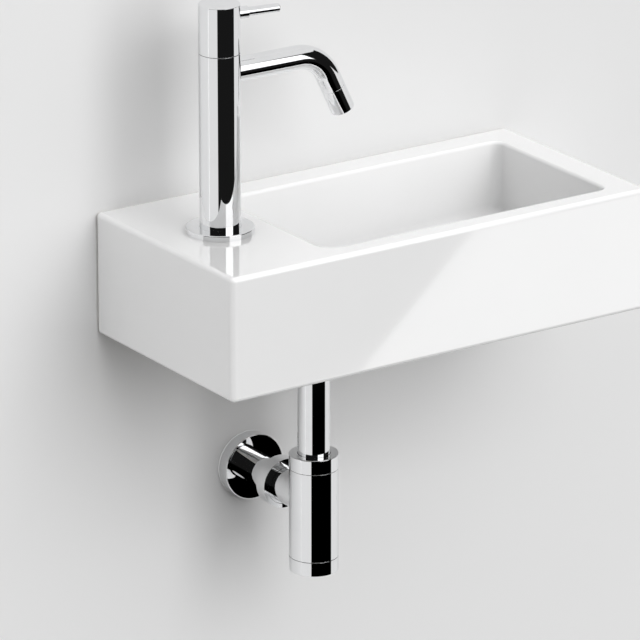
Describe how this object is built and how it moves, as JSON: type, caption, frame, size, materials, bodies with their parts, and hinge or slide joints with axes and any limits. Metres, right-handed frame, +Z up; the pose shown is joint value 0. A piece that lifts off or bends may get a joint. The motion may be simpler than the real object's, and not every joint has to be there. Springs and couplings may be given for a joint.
{
  "type": "hand basin",
  "caption": "Compact wall-hung rectangular ceramic hand basin with a lever pillar tap on its deck, a strainer waste and a chromed bottle trap to the wall.",
  "frame": {"origin": "on the wall plane, midway between the two wall studs' axes", "axes": "+X along the wall towards the bowl's end, +Y into the wall, +Z up"},
  "size_m": [0.364, 0.23, 0.4459],
  "materials": {
    "glazed_ceramic": "white gloss glaze",
    "chrome": "polished chrome plate",
    "rubber": "matte black",
    "brass": "machined",
    "zinc_steel": "zinc plated",
    "disc_ceramic": "lapped",
    "white_plastic": "moulded"
  },
  "bodies": {
    "root": {"basin": "glazed_ceramic", "tap_flange": "chrome", "tap_column": "chrome", "spout_tube": "chrome", "spout_nozzle": "chrome", "waste_strainer": "chrome", "waste_screw": "chrome", "inlet_union_nut": "chrome", "trap_inlet_tube": "chrome", "bottle_top_nut": "chrome", "bottle_body": "chrome", "outlet_nut": "chrome", "outlet_tube": "chrome", "wall_rosette": "chrome", "flange_gasket": "rubber", "shank_rubber_washer": "rubber", "aerator_seal": "rubber", "cartridge_seat_seal": "rubber", "cartridge_o_ring": "rubber", "waste_top_seal": "rubber", "waste_bottom_seal": "rubber", "inlet_seal": "rubber", "bottle_top_seal": "rubber", "outlet_seal": "rubber", "tap_shank": "brass", "shank_lock_nut": "brass", "cartridge_body": "brass", "waste_body": "brass", "shank_steel_washer": "zinc_steel", "wall_studs": "zinc_steel", "stud_washers": "zinc_steel", "stud_nuts": "zinc_steel", "fixed_disc": "disc_ceramic", "aerator_insert": "white_plastic", "stud_sleeves": "white_plastic"},
    "handle": {"handle_cap": "chrome", "lever_neck": "chrome", "lever_rod": "chrome", "handle_grub_screw": "zinc_steel", "cartridge_spindle": "brass", "moving_disc": "disc_ceramic"},
    "cup_washer": {"cup_seal": "rubber"},
    "cleaning_cup": {"bottle_cup": "chrome"}
  },
  "joints": [
    {"name": "handle_turn", "type": "hinge", "parent": "root", "child": "handle", "pos_m": [-0.131, -0.087, 0.2134], "axis": [0, 0, -1], "range_deg": [0, 90]},
    {"name": "cup_drop", "type": "slide", "parent": "root", "child": "cup_washer", "axis": [0, 0, -1], "range_m": [0, 0.006]},
    {"name": "cup_turn", "type": "hinge", "parent": "cup_washer", "child": "cleaning_cup", "pos_m": [-0.0522, -0.0895, -0.19], "axis": [0, 0, -1], "range_deg": [0, 1080]}
  ],
  "couplings": [
    {"joint": "cup_drop", "follows": "cup_turn", "m_per_rad": 0.00031831}
  ]
}
